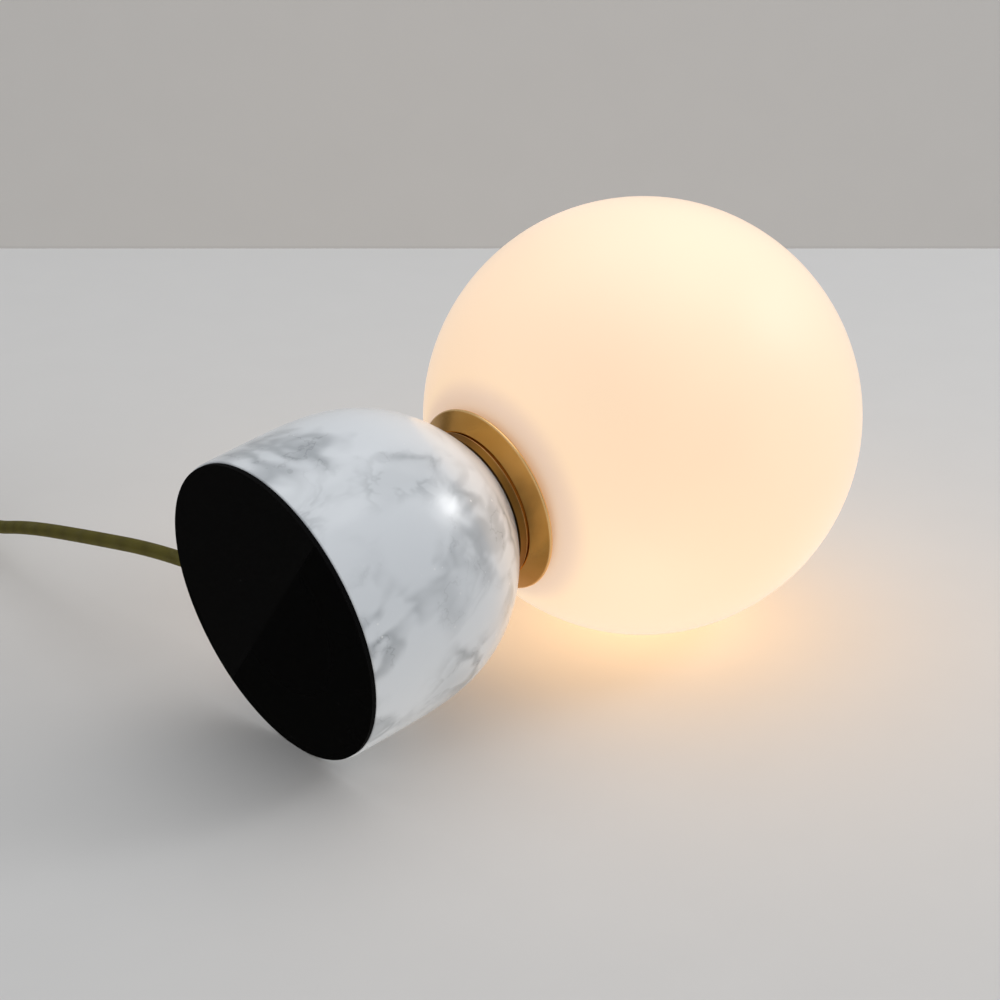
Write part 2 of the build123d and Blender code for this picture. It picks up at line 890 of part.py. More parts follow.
def plug_body():
    wide, narrow = plug_width / 2, plug_tail_width / 2
    outline = Polyline(
        (0, wide), (-plug_shoulder, wide), (-plug_length, narrow), (-plug_length, -narrow),
        (-plug_shoulder, -wide), (0, -wide), close=True,
    )
    body = extrude(make_face(outline), plug_thickness)
    body = fillet(body.edges().filter_by(Axis.Z), plug_rounding)
    body = fillet(body.edges().group_by(Axis.Z)[0] + body.edges().group_by(Axis.Z)[-1], plug_rounding * 0.9)
    for y in plug_pin_places():
        body -= rod_x(plug_pin_core, -plug_pin_root, 0, y=y, z=plug_axis())
    return body


def plug_pins():
    pins = []
    for y in plug_pin_places():
        tip = rod_x(plug_pin_radius, plug_sleeve_length, plug_pin_length, y=y, z=plug_axis())
        tip = fillet(tip.edges().filter_by(GeomType.CIRCLE).sort_by(Axis.X)[-1], plug_pin_core)
        pins.append(tip + rod_x(plug_pin_core, -plug_pin_root, plug_sleeve_length, y=y, z=plug_axis()))
    return pins


def plug_sleeves():
    outer = plug_pin_radius - plug_sleeve_inset
    return [
        rod_x(outer, 0, plug_sleeve_length, y=y, z=plug_axis())
        - rod_x(plug_pin_core, 0, plug_sleeve_length, y=y, z=plug_axis())
        for y in plug_pin_places()
    ]


def plug_relief():
    """A tapered sleeve on the cord, behind the plug."""
    cone = turned(
        [
            (cord_hole, 0),
            (relief_root_radius, 0),
            (relief_tip_radius, relief_length),
            (cord_hole, relief_length),
        ]
    )
    return Pos(-plug_length, 0, plug_axis()) * Rot(0, -90, 0) * cone


# ---- cord

def lamp_cord_route():
    """From the grip in the base, out of the marble and down to the table, to the switch."""
    half = switch_length / 2
    return [
        (cord_inner_end, 0, cord_height),
        (92, 0, cord_height),
        (165, -5.7, 4.0),
        (222, -14.5, cord_radius),
        (264, -25, cord_radius),
        (291, -24, 5.0),
        on_switch(-half - 20),
        on_switch(-half + switch_cord_bite),
    ]


def coil_start():
    return coil_x + coil_end_run, coil_y + coil_outer, coil_low


def coil_finish():
    return coil_x - coil_end_run, coil_y + coil_outer, coil_high


def switch_cord_route():
    """From the switch round to the coil."""
    half = switch_length / 2
    x, y, z = coil_start()
    return [
        on_switch(half - switch_cord_bite),
        on_switch(half + 13),
        (390, 79.2, 5.0),
        (387.8, 100.1, 3.8),
        (376.7, 117.9, 3.5),
        (x + 26, y, z),
        (x, y, z),
    ]


def tail_route():
    """From the coil's upper end down to the plug."""
    x, y, z = coil_finish()
    along = Vector(1, 0, 0).rotate(Axis.Z, plug_heading)
    bend = Vector(x - 46, y + 2, plug_axis())
    return [(x, y, z), (x - 16, y, z), tuple(bend), tuple(bend + along * (relief_length + 10))]


def coil_path():
    """Half turns that step in by half a pitch, a climb in two quarters, and half turns that step out."""
    edges = [Line((coil_outer, -coil_end_run, coil_low), (coil_outer, 0, coil_low))]
    x, heading = coil_outer, 1

    def half_turn(radius, height):
        nonlocal x, heading
        end = x - 2 * heading * radius
        edges.append(TangentArc((x, 0, height), (end, 0, height), tangent=(0, heading, 0)))
        x, heading = end, -heading

    step = coil_pitch / 2
    for index in range(2 * coil_turns):
        half_turn(coil_outer - index * step, coil_low)
    inner = coil_outer - 2 * coil_turns * step
    reach = math.hypot(inner, coil_pitch / 2)
    start, middle = (x, 0, coil_low), (0, heading * reach, (coil_low + coil_high) / 2)
    end = (-x, 0, coil_high)
    edges.append(TangentArc(start, middle, tangent=(0, heading, 0)))
    edges.append(TangentArc(middle, end, tangent=(-2 * x, 0, coil_pitch)))
    x, heading = -x, -heading
    for index in range(2 * coil_turns - 1):
        half_turn(inner + (index + 1) * step, coil_high)
    edges.append(Line((x, 0, coil_high), (x, coil_end_run, coil_high)))
    return Wire(edges)


def least_gap(path, radius, samples=1500):
    """The least free space between stretches of a wound tube that are over two diameters apart along it."""
    points = [path @ (index / samples) for index in range(samples + 1)]
    skip = math.ceil(4 * radius * math.pi / 2 / (path.length / samples))
    grid = {}
    cell = 4 * radius
    for index, point in enumerate(points):
        grid.setdefault(tuple(int(v // cell) for v in point), []).append(index)
    best = math.inf
    for key, members in grid.items():
        near = [
            other
            for dx in (-1, 0, 1)
            for dy in (-1, 0, 1)
            for dz in (-1, 0, 1)
            for other in grid.get((key[0] + dx, key[1] + dy, key[2] + dz), [])
        ]
        for first in members:
            for second in near:
                if second > first + skip:
                    best = min(best, (points[first] - points[second]).length)
    return best - 2 * radius


def cord_coil():
    path = coil_path()
    tube = swept(path, cord_radius)
    section = math.pi * cord_radius**2
    print(
        "cord_coil length", round(path.length, 1), "least gap", round(least_gap(path, cord_radius), 2),
        "volume over section times length", round(tube.volume / section / path.length, 4),
    )
    return coil_place * tube


def cord_tie():
    """A strap round the neat side of the coil."""
    half = tie_width / 2
    step = coil_pitch / 2
    outer = coil_outer - step + cord_radius + tie_play
    innermost = coil_outer - (2 * coil_turns - 1) * step
    inner = math.sqrt(innermost**2 - (half + step) ** 2) - cord_radius - tie_play
    low, high = coil_low - cord_radius - tie_play, coil_high + cord_radius + tie_play
    hole = block((-half, half), (-outer, -inner), (low, high))
    t = tie_thickness
    strap = block((-half, half), (-outer - t, t - inner), (low - t, high + t))
    strap = fillet(strap.edges().filter_by(Axis.X), t)
    return coil_place * (strap - hole)


LAMP_PIECES = [
    base_pad, marble_base, cord_bush, fixing_plate, threaded_tube, cord_grip_block, cord_grip_saddle,
    cord_grip_screws, terminal_block, terminal_block_screw, terminal_tubes, terminal_screws,
    cord_core_neutral, cord_core_live, lamp_lead_neutral, lamp_lead_live, neck_cup, dish, seat_ring,
    neck_spring, globe_glass, holder_hub, holder_screws, holder_body, holder_contacts, bulb_base,
    bulb_pins, bulb_core, bulb_diffuser, cord_coil, cord_tie,
]
SWITCH_PIECES = [
    switch_base_shell, switch_cover_shell, switch_pivot_pin, switch_rocker, switch_seesaw,
    switch_fixed_contact, switch_common_contact, switch_neutral_link, switch_live_cores,
    switch_neutral_cores, switch_shell_screws,
]
PLUG_PIECES = [plug_body, plug_pins, plug_sleeves, plug_relief]


def as_shape(made):
    """One shape, also from a group of separate solids."""
    if isinstance(made, (list, tuple)):
        return Compound([solid for piece in made for solid in piece.solids()])
    solids = made.solids()
    return solids[0] if len(solids) == 1 else Compound(solids)


def main():
    os.makedirs("parts", exist_ok=True)
    pieces = {piece.__name__: as_shape(piece()) for piece in LAMP_PIECES}
    pieces["lower_nut"] = as_shape(nut(lower_nut_bottom, plate_bottom))
    pieces["upper_nut"] = as_shape(nut(upper_nut_bottom, upper_nut_bottom + nut_height))
    for piece in SWITCH_PIECES:
        pieces[piece.__name__] = switch_place * as_shape(piece())
    tail = tail_route()
    plug_place = Location((tail[-1][0], tail[-1][1], 0), (0, 0, plug_heading)) * Pos(plug_length, 0, 0)
    for piece in PLUG_PIECES:
        pieces[piece.__name__] = plug_place * as_shape(piece())
    pieces["cord_from_lamp"] = cord_tube("cord_from_lamp", lamp_cord_route())
    pieces["cord_from_switch"] = cord_tube("cord_from_switch", switch_cord_route())
    pieces["cord_to_plug"] = cord_tube("cord_to_plug", tail)
    for name, shape in pieces.items():
        export_step(shape, f"parts/{name}.step")


main()
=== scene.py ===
import json
import math

import bmesh
import bpy
from mathutils import Matrix, Vector


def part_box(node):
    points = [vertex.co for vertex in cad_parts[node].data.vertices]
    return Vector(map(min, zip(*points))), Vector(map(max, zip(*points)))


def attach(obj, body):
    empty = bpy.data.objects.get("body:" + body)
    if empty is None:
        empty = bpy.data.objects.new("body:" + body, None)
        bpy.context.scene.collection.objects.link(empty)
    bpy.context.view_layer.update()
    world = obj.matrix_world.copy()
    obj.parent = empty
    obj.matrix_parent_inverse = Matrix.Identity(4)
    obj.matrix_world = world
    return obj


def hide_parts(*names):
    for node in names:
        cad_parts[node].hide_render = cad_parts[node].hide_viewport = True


# Looks of the globe table lamp, in metres and in the frame of its solids: the lamp stands upright on Z 0,
# and its cord leaves the marble towards +X. The camera sees it as the photograph does, lying on its side.

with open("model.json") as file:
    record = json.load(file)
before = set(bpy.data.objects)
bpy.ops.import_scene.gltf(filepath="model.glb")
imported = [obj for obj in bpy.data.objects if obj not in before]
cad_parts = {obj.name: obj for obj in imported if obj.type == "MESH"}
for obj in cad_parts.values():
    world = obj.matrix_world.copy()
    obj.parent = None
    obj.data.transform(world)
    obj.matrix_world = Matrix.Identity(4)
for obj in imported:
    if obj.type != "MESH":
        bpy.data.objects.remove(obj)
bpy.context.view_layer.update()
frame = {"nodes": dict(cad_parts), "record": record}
nodes = frame["nodes"]


def heading(degrees):
    """A level direction, from its angle to +X."""
    return Vector((math.cos(math.radians(degrees)), math.sin(math.radians(degrees)), 0))


# ---- globe and brass
globe_radius = 0.1
globe_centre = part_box("globe_glass")[1] - Vector((globe_radius, globe_radius, globe_radius))
glow_gap = 0.0006  # between the glass and the ball that lights the room
shade_edge = -0.835  # of the painted shade ring at the neck, as the height on a globe of radius 1
shade_core = -0.895
dish_edge = (0.0426, 0.11)  # radius and height of the rim that carries a painted highlight
collar_edge = (0.0342, 0.1102)
edge_highlight_width = 0.0006  # over which the painted highlight comes in
edge_highlight_inset = 0.0003  # of the fully bright band of the painted highlight

# ---- cord and its strap
cord_radius = 0.0033
cord_exit = Vector((0.0682, 0.0, 0.011))
lamp_braid_length = 0.307  # from the marble to the switch
plug_braid_length = 1.59  # from the switch to the plug
yarn_pitch = 0.0021
yarns_round = 12
sheath_end = (0.022, 0.0405)  # from the lamp's axis, inside the base
strap_corner = 0.0022
strap_thickness = 0.001
flap_inset = Vector((0.004, 0.0002, 0.0))  # of the strap's free end from its box
flap_sunk = 0.0002  # into the strap

# ---- switch and plug
switch_place = Vector((0.3504, 0.0282, 0.0095))
switch_along = heading(44)
seam_width = 0.0004
plug_bend = Vector((0.2634, 0.1388, 0.00685))
plug_heading = heading(172)
plug_bend_to_tail = 0.03
plug_tail = plug_bend + plug_heading * plug_bend_to_tail
plug_length = 0.034
plug_width = 0.035
plug_shoulder = 0.012  # of full width behind the face
plug_tail_width = 0.015
grip_ribs = 7  # on each slanting side
grip_pitch = 0.0024
grip_start = 0.0045
grip_rib = Vector((0.0012, 0.001, 0.0085))  # half its depth stands proud
grip_rounding = 0.0003
relief_length = 0.02
relief_root = 0.0056
relief_tip = 0.0042
relief_grooves = 5
relief_groove = Vector((0.0014, 0.0009))  # its width and depth
relief_rounding = 0.0002

# ---- coil
coil_centre = Vector((0.316, 0.09, 0))
coil_outer = 0.0468
coil_step = 0.0036  # that each half turn is wound further in, or out
coil_half_turns = 6  # in each layer
coil_low = 0.0048
coil_high = 0.012
points_in_half_turn = 6

# ---- the photograph's camera and its room
camera_place = Vector((-0.71708, 0.38902, -0.38467))
camera_right = Vector((-0.635618, -0.190928, 0.748021))
camera_up = Vector((0.204007, 0.892951, 0.401272))
camera_lens = 79.2
floor_up = Vector((-0.103134, 0.981250, 0.162822))
floor_level = -0.06545  # of the photograph's floor, along floor_up
lamp_middle = Vector((0, 0, 0.15))
room_right = camera_right
room_away = floor_up.cross(room_right)
wall_foot_rise = 0.1145  # of the sight line to the wall's foot, from the middle of the view
room_half_width = 4.0
room_near = -3.0
wall_height = 4.0
wall_foot_height = 0.002
wall_foot_gap = 0.001  # between the wall and the dark line at its foot
table_reach = 5.0


# ---- node graphs

class Graph:
    """Adds nodes to a tree. Inputs are values, or sockets to link from."""

    def __init__(self, tree):
        self.tree = tree

    def add(self, kind, inputs=None, **settings):
        node = self.tree.nodes.new("ShaderNode" + kind)
        for name, value in settings.items():
            setattr(node, name, value)
        for name, value in (inputs or {}).items():
            self.put(node.inputs[name], value)
        return node

    def put(self, socket, value):
        if isinstance(value, bpy.types.NodeSocket):
            self.tree.links.new(value, socket)
        else:
            socket.default_value = value

    def math(self, operation, first, second=0.0):
        return self.add("Math", {0: first, 1: second}, operation=operation).outputs[0]

    def noise(self, vector, scale, detail=2.0, roughness=0.5, distortion=0.0):
        inputs = {
            "Vector": vector, "Scale": scale, "Detail": detail, "Roughness": roughness,
            "Distortion": distortion,
        }
        return self.add("TexNoise", inputs).outputs["Fac"]

    def span(self, value, low, high, start=0.0, stop=1.0):
        """The value's place between low and high, smoothly, as start to stop."""
        inputs = {"Value": value, "From Min": low, "From Max": high, "To Min": start, "To Max": stop}
        return self.add("MapRange", inputs, interpolation_type="SMOOTHSTEP").outputs[0]

    def blend(self, share, first, second):
        """The first colour where the share is 0, the second where it is 1."""
        node = self.add("Mix", data_type="RGBA")
        self.put(node.inputs["Factor"], share)
        self.put(node.inputs[6], first)
        self.put(node.inputs[7], second)
        return node.outputs[2]

    def place(self):
        return self.add("TexCoord").outputs["Object"]

    def height(self):
        return self.add("SeparateXYZ", {0: self.place()}).outputs["Z"]


def new_material(name):
    """A material, its graph and its shader."""
    made = bpy.data.materials.new(name)
    made.use_nodes = True
    return made, Graph(made.node_tree), made.node_tree.nodes["Principled BSDF"]


def set_shader(graph, shader, **values):
    """Sets or links the shader's sockets, named with _ for a space."""
    for name, value in values.items():
        graph.put(shader.inputs[name.replace("_", " ")], value)


def rgb(red, green, blue):
    return (red, green, blue, 1.0)


def new_group(name, inputs, outputs):
    """A node group with (name, kind, default) inputs and (name, kind) outputs."""
    tree = bpy.data.node_groups.new(name, "ShaderNodeTree")
    for label, kind, default in inputs:
        socket = tree.interface.new_socket(label, in_out="INPUT", socket_type="NodeSocket" + kind)
        socket.default_value = default
    for label, kind in outputs:
        tree.interface.new_socket(label, in_out="OUTPUT", socket_type="NodeSocket" + kind)
    graph = Graph(tree)
    source = tree.nodes.new("NodeGroupInput").outputs
    target = tree.nodes.new("NodeGroupOutput").inputs
    return tree, graph, source, target


def make_grain_group():
    """Fine grain of a moulded, cast or drawn surface: a speckled colour, gloss and height."""
    tree, graph, source, target = new_group(
        "surface grain",
        [
            ("Color", "Color", rgb(0.5, 0.5, 0.5)), ("Shade", "Float", 0.2), ("Scale", "Float", 1500.0),
            ("Roughness", "Float", 0.4), ("Spread", "Float", 0.1),
        ],
        [("Color", "Color"), ("Roughness", "Float"), ("Height", "Float")],
    )
    place = graph.place()
    fine = graph.noise(place, source["Scale"], 3.0, 0.6)
    broad = graph.noise(place, 60.0, 2.0)
    both = graph.math("MULTIPLY", graph.math("ADD", fine, broad), 0.5)
    dark = graph.blend(source["Shade"], source["Color"], rgb(0.0, 0.0, 0.0))
    graph.put(target["Color"], graph.blend(graph.span(both, 0.35, 0.65), dark, source["Color"]))
    swing = graph.math("MULTIPLY", graph.math("SUBTRACT", both, 0.5), source["Spread"])
    graph.put(target["Roughness"], graph.math("ADD", source["Roughness"], swing))
    graph.put(target["Height"], fine)
    return tree


def make_lathe_group():
    """Fine rings about the lamp's axis, as a lathe and a polishing cloth leave them."""
    tree, graph, source, target = new_group(
        "lathe lines",
        [("Rings", "Float", 9000.0), ("Spread", "Float", 0.1), ("Roughness", "Float", 0.3)],
        [("Roughness", "Float"), ("Height", "Float"), ("Radius", "Float")],
    )
    parts = graph.add("SeparateXYZ", {0: graph.place()})
    across = graph.math("POWER", parts.outputs["X"], 2.0)
    along = graph.math("POWER", parts.outputs["Y"], 2.0)
    radius = graph.math("SQRT", graph.math("ADD", across, along))
    ring_place = graph.add("CombineXYZ", {"X": radius, "Y": parts.outputs["Z"]}).outputs[0]
    lines = graph.noise(ring_place, source["Rings"], 1.0)
    smears = graph.noise(graph.place(), 90.0, 3.0)
    swing = graph.math("MULTIPLY", graph.math("SUBTRACT", smears, 0.5), source["Spread"])
    graph.put(target["Roughness"], graph.math("ADD", source["Roughness"], swing))
    graph.put(target["Height"], lines)
    graph.put(target["Radius"], radius)
    return tree


grain_group = make_grain_group()
lathe_group = make_lathe_group()


def add_bump(graph, height, strength, distance):
    inputs = {"Height": height, "Strength": strength, "Distance": distance}
    return graph.add("Bump", inputs).outputs["Normal"]


# ---- finishes

def grained(name, color, roughness, shade=0.2, scale=1500.0, spread=0.1, bump=0.15, **plain):
    """A plain material whose colour, gloss and surface vary finely."""
    made, graph, shader = new_material(name)
    grain = graph.add("Group", node_tree=grain_group)
    values = {
        "Color": rgb(*color), "Shade": shade, "Scale": scale, "Roughness": roughness, "Spread": spread,
    }
    for label, value in values.items():
        grain.inputs[label].default_value = value
    set_shader(
        graph, shader, Base_Color=grain.outputs["Color"], Roughness=grain.outputs["Roughness"],
        Normal=add_bump(graph, grain.outputs["Height"], bump, 0.0001), **plain,
    )
    return made


def make_switch_shell():
    """Black plastic with a groove where the shells of the switch meet."""
    made, graph, shader = new_material("switch shell")
    grain = graph.noise(graph.place(), 1500.0, 3.0, 0.6)
    off_seam = graph.math("ABSOLUTE", graph.math("SUBTRACT", graph.height(), switch_place.z))
    shell = graph.span(off_seam, seam_width / 2, seam_width)
    dark, pale, groove = rgb(0.009, 0.009, 0.009), rgb(0.014, 0.014, 0.014), rgb(0.003, 0.003, 0.003)
    color = graph.blend(graph.span(grain, 0.35, 0.65), dark, pale)
    height = graph.math("ADD", graph.math("MULTIPLY", grain, 0.05), shell)
    set_shader(
        graph, shader, Base_Color=graph.blend(shell, groove, color),
        Roughness=graph.span(grain, 0.2, 0.8, 0.38, 0.5), Specular_IOR_Level=0.35,
        Normal=add_bump(graph, height, 1.0, 0.0004),
    )
    return made


def veins(graph, place, scale, width, detail=3.0):
    """Thin lines where a noise passes its middle."""
    off = graph.math("ABSOLUTE", graph.math("SUBTRACT", graph.noise(place, scale, detail, 0.6), 0.5))
    return graph.span(off, 0.0, width, 1.0, 0.0)


def make_marble():
    """Polished white marble with grey clouds, blurred veins, hairlines and bright crystals."""
    made, graph, shader = new_material("white marble")
    turned = graph.add("Mapping", {"Vector": graph.place(), "Rotation": (0.5, 0.9, 0.3)}).outputs[0]
    stretched = graph.add("Mapping", {"Vector": turned, "Scale": (1.0, 1.3, 0.7)}).outputs[0]
    drift = graph.add("TexNoise", {"Vector": stretched, "Scale": 30.0, "Detail": 2.0}).outputs["Color"]
    pushed = graph.add(
        "VectorMath", {0: drift, 1: (0.025, 0.025, 0.025), 2: stretched}, operation="MULTIPLY_ADD"
    ).outputs[0]
    clouds = graph.span(graph.noise(pushed, 24.0, 2.0, 0.45), 0.42, 0.7)
    patches = graph.span(graph.noise(turned, 24.0, 1.0, 0.5), 0.42, 0.6)
    soft = graph.math("MULTIPLY", veins(graph, pushed, 26.0, 0.1, 2.5), patches)
    fine = graph.math("MULTIPLY", veins(graph, pushed, 52.0, 0.09, 3.0), clouds)
    hair = graph.math("MULTIPLY", veins(graph, turned, 30.0, 0.014, 5.0), soft)
    white, cloud_grey, vein_grey = rgb(0.71, 0.75, 0.795), rgb(0.42, 0.455, 0.49), rgb(0.20, 0.225, 0.25)
    color = graph.blend(graph.math("MULTIPLY", clouds, 0.45), white, cloud_grey)
    color = graph.blend(graph.math("MULTIPLY", soft, 0.5), color, vein_grey)
    color = graph.blend(graph.math("MULTIPLY", fine, 0.35), color, vein_grey)
    color = graph.blend(graph.math("MULTIPLY", hair, 0.25), color, rgb(0.12, 0.13, 0.145))
    crystals = graph.add("TexVoronoi", {"Vector": graph.place(), "Scale": 420.0})
    pick = graph.add("SeparateColor", {"Color": crystals.outputs["Color"]}).outputs["Red"]
    bright = graph.math("GREATER_THAN", pick, 0.975)
    spot = graph.math("MULTIPLY", bright, graph.span(crystals.outputs["Distance"], 0.12, 0.3, 1.0, 0.0))
    spot = graph.math("MULTIPLY", spot, patches)
    color = graph.blend(graph.math("MULTIPLY", spot, 0.6), color, rgb(0.93, 0.94, 0.95))
    gloss = graph.span(graph.noise(graph.place(), 70.0, 2.0), 0.3, 0.7, 0.17, 0.21)
    set_shader(graph, shader, Base_Color=color, Roughness=gloss, IOR=1.62)
    return made


def make_brass(name, color, roughness, edge):
    """Satin brass, turned round the lamp's axis, with a highlight painted on its edge."""
    edge_radius, edge_height = edge
    made, graph, shader = new_material(name)
    lathe = graph.add("Group", node_tree=lathe_group)
    lathe.inputs["Roughness"].default_value = roughness
    tarnish = graph.span(graph.noise(graph.place(), 45.0, 4.0), 0.35, 0.7)
    tarnish_and_highlight = graph.blend(tarnish, rgb(*color), rgb(color[0] * 0.86, color[1] * 0.82, color[2] * 0.7))
    # Painted highlight: a bright orange band on the top of the edge, for the globe's glow reflected
    # there.
    outer = edge_radius - edge_highlight_inset
    near_edge = graph.span(lathe.outputs["Radius"], outer - edge_highlight_width, outer)
    near_top = graph.span(graph.height(), edge_height - edge_highlight_inset, edge_height)
    tarnish_and_highlight = graph.blend(graph.math("MULTIPLY", near_edge, near_top), tarnish_and_highlight, rgb(0.88, 0.58, 0.26))
    round_axis = graph.add("Tangent", direction_type="RADIAL", axis="Z").outputs[0]
    set_shader(
        graph, shader, Base_Color=tarnish_and_highlight, Metallic=1.0, Roughness=lathe.outputs["Roughness"],
        Anisotropic=0.75, Tangent=round_axis,
        Normal=add_bump(graph, lathe.outputs["Height"], 0.12, 0.00005),
    )
    return made


def make_felt():
    """Near-black felt with fibres and a little lint."""
    made, graph, shader = new_material("black felt")
    place = graph.place()
    fibres = graph.noise(place, 1600.0, 4.0, 0.7, 1.5)
    lint = graph.add("TexVoronoi", {"Vector": place, "Scale": 260.0})
    pick = graph.add("SeparateColor", {"Color": lint.outputs["Color"]}).outputs["Green"]
    spot = graph.span(lint.outputs["Distance"], 0.05, 0.14, 1.0, 0.0)
    spot = graph.math("MULTIPLY", spot, graph.math("GREATER_THAN", pick, 0.985))
    black, grey = rgb(0.0012, 0.0012, 0.0013), rgb(0.006, 0.006, 0.0062)
    color = graph.blend(graph.span(fibres, 0.3, 0.7), black, grey)
    color = graph.blend(graph.math("MULTIPLY", spot, 0.5), color, rgb(0.09, 0.09, 0.09))
    set_shader(
        graph, shader, Base_Color=color, Roughness=0.95, Specular_IOR_Level=0.05,
        Normal=add_bump(graph, fibres, 0.6, 0.0004),
    )
    return made


def make_textile(name, length):
    """Olive braid: two crossing families of yarn, on the cord's own map of (round, along)."""
    made, graph, shader = new_material(name)
    parts = graph.add("SeparateXYZ", {0: graph.add("UVMap").outputs["UV"]})
    around = graph.math("MULTIPLY", parts.outputs["X"], yarns_round)
    along = graph.math("MULTIPLY", parts.outputs["Y"], length / yarn_pitch)
    heights = []
    for turn in ("ADD", "SUBTRACT"):
        phase = graph.math("MULTIPLY", graph.math(turn, along, around), math.tau)
        heights.append(graph.math("SINE", phase))
    yarn = graph.math("MAXIMUM", *heights)
    streak = graph.noise(graph.place(), 220.0, 4.0, 0.6)
    # Painted shade: the braid is darker between the yarns and lighter on their crowns.
    color = graph.blend(graph.span(yarn, -0.4, 0.9), rgb(0.058, 0.049, 0.003), rgb(0.112, 0.096, 0.008))
    color = graph.blend(graph.span(streak, 0.5, 0.75, 0.0, 0.3), color, rgb(0.15, 0.135, 0.05))
    set_shader(
        graph, shader, Base_Color=color, Roughness=0.75, Specular_IOR_Level=0.2, Sheen_Weight=0.08,
        Sheen_Roughness=0.5, Sheen_Tint=rgb(0.6, 0.56, 0.3), Normal=add_bump(graph, yarn, 0.5, 0.00025),
    )
    return made


def make_opal():
    """Lit satin opal glass, with shade painted into its glow in a ring at the neck, where the fitting
    inside shades it.
    """
    made, graph, shader = new_material("lit opal glass")
    ends = {0: graph.place(), 1: tuple(globe_centre)}
    local = graph.add("VectorMath", ends, operation="SUBTRACT").outputs[0]
    outward = graph.add("VectorMath", {0: local}, operation="NORMALIZE").outputs[0]
    height = graph.add("SeparateXYZ", {0: outward}).outputs["Z"]
    uneven = graph.span(graph.noise(graph.place(), 9.0, 2.0), 0.3, 0.7)
    glow = graph.blend(uneven, rgb(0.60, 0.348, 0.132), rgb(0.65, 0.381, 0.15))
    # Painted shade: the glow is dimmed towards a dull brown in a ring round the neck.
    painted_neck_shade = graph.span(height, shade_core, shade_edge, 0.8, 0.0)
    glow = graph.blend(painted_neck_shade, glow, rgb(0.38, 0.21, 0.10))
    set_shader(
        graph, shader, Base_Color=rgb(0.6, 0.6, 0.6), Roughness=0.5, IOR=1.5, Sheen_Weight=0.6,
        Sheen_Roughness=0.35, Sheen_Tint=rgb(1.0, 0.97, 0.93), Emission_Color=glow,
        Emission_Strength=1.0,
    )
    return made


def make_lit(name, color, strength):
    """A frosted surface that shines a little unevenly."""
    made, graph, shader = new_material(name)
    uneven = graph.noise(graph.place(), 120.0, 2.0)
    glow = graph.blend(graph.span(uneven, 0.3, 0.7, 0.0, 0.3), rgb(*color), rgb(1.0, 0.9, 0.75))
    set_shader(
        graph, shader, Base_Color=rgb(0.85, 0.83, 0.8), Roughness=0.35, Emission_Color=glow,
        Emission_Strength=strength,
    )
    return made


metal = {"Metallic": 1.0}
finishes = {
    "marble": make_marble(),
    "pad": make_felt(),
    "satin_brass": make_brass("satin brass", (0.56, 0.31, 0.085), 0.2, dish_edge),
    "opal_glass": make_opal(),
    "diffuser": make_lit("frosted bulb", (1.0, 0.62, 0.34), 2.2),
    "black_plastic": grained("black plastic", (0.013, 0.013, 0.013), 0.42, Specular_IOR_Level=0.35),
    "rocker_plastic": grained("black rocker", (0.02, 0.02, 0.02), 0.2, scale=900.0, bump=0.05),
    "black_rubber": grained(
        "black rubber", (0.012, 0.012, 0.012), 0.62, bump=0.3, Specular_IOR_Level=0.3
    ),
    "black_strap": grained(
        "black strap", (0.012, 0.012, 0.013), 0.85, scale=2600.0, bump=0.8, Specular_IOR_Level=0.2
    ),
    "white_plastic": grained("white plastic", (0.72, 0.71, 0.68), 0.4, shade=0.06),
    "zinc_steel": grained("zinc-plated steel", (0.55, 0.56, 0.58), 0.32, shade=0.25, **metal),
    "spring_steel": grained("spring steel", (0.42, 0.42, 0.43), 0.28, shade=0.2, **metal),
    "contact_brass": grained("contact brass", (0.70, 0.50, 0.20), 0.3, shade=0.25, **metal),
    "nickel": grained("nickel-plated brass", (0.64, 0.62, 0.58), 0.2, shade=0.12, bump=0.05, **metal),
    "live_insulation": grained("brown insulation", (0.10, 0.035, 0.012), 0.4),
    "neutral_insulation": grained("blue insulation", (0.02, 0.09, 0.32), 0.4),
    "silicone": grained("clear silicone", (0.75, 0.74, 0.72), 0.35, shade=0.08),
    "ceramic": grained("steatite", (0.78, 0.75, 0.69), 0.35, shade=0.08, scale=700.0),
}


def finish(piece, material):
    piece.data.materials.clear()
    piece.data.materials.append(material)


def finish_nodes():
    """Each solid's finish, from its material slot. The collar gets a darker copy of the brass as painted
    shade, and the switch has its seam.
    """
    slots = {row["node"]: row["material_slot"] for row in frame["record"]["subparts"]}
    for node, slot in slots.items():
        if slot in finishes:
            finish(nodes[node], finishes[slot])
    # Painted shade: a darker copy of the satin brass on the collar, for the shade on its side.
    shaded_brass_copy = make_brass("satin brass, painted shade", (0.25, 0.12, 0.025), 0.34, collar_edge)
    finish(nodes["neck_cup"], shaded_brass_copy)
    switch_shell = make_switch_shell()
    for shell in ("switch_base_shell", "switch_cover_shell"):
        finish(nodes[shell], switch_shell)


# ---- cords

def cord_line(name, route):
    """A smooth curve with the route's points as its control points."""
    curve = bpy.data.curves.new(name, "CURVE")
    curve.dimensions = "3D"
    spline = curve.splines.new("NURBS")
    spline.points.add(len(route) - 1)
    for point, place in zip(spline.points, route):
        point.co = (*place, 1.0)
    spline.order_u = 3
    spline.use_endpoint_u = True
    spline.resolution_u = 10
    curve.bevel_depth = cord_radius
    curve.bevel_resolution = 3
    curve.use_fill_caps = True
    cord = bpy.data.objects.new(name, curve)
    bpy.context.scene.collection.objects.link(cord)
    return cord


def on_switch(along):
    """A point on the line of the switch, from its middle."""
    return tuple(switch_place + switch_along * along)


def lamp_cord_route():
    """From inside the base, out of the marble and down to the table, to the switch."""
    return [
        (0.040, 0.0, 0.011),
        (0.092, 0.0, 0.011),
        (0.165, -0.0057, 0.004),
        (0.222, -0.0145, 0.0033),
        (0.264, -0.025, 0.0033),
        (0.291, -0.024, 0.005),
        on_switch(-0.052),
        on_switch(-0.025),
    ]


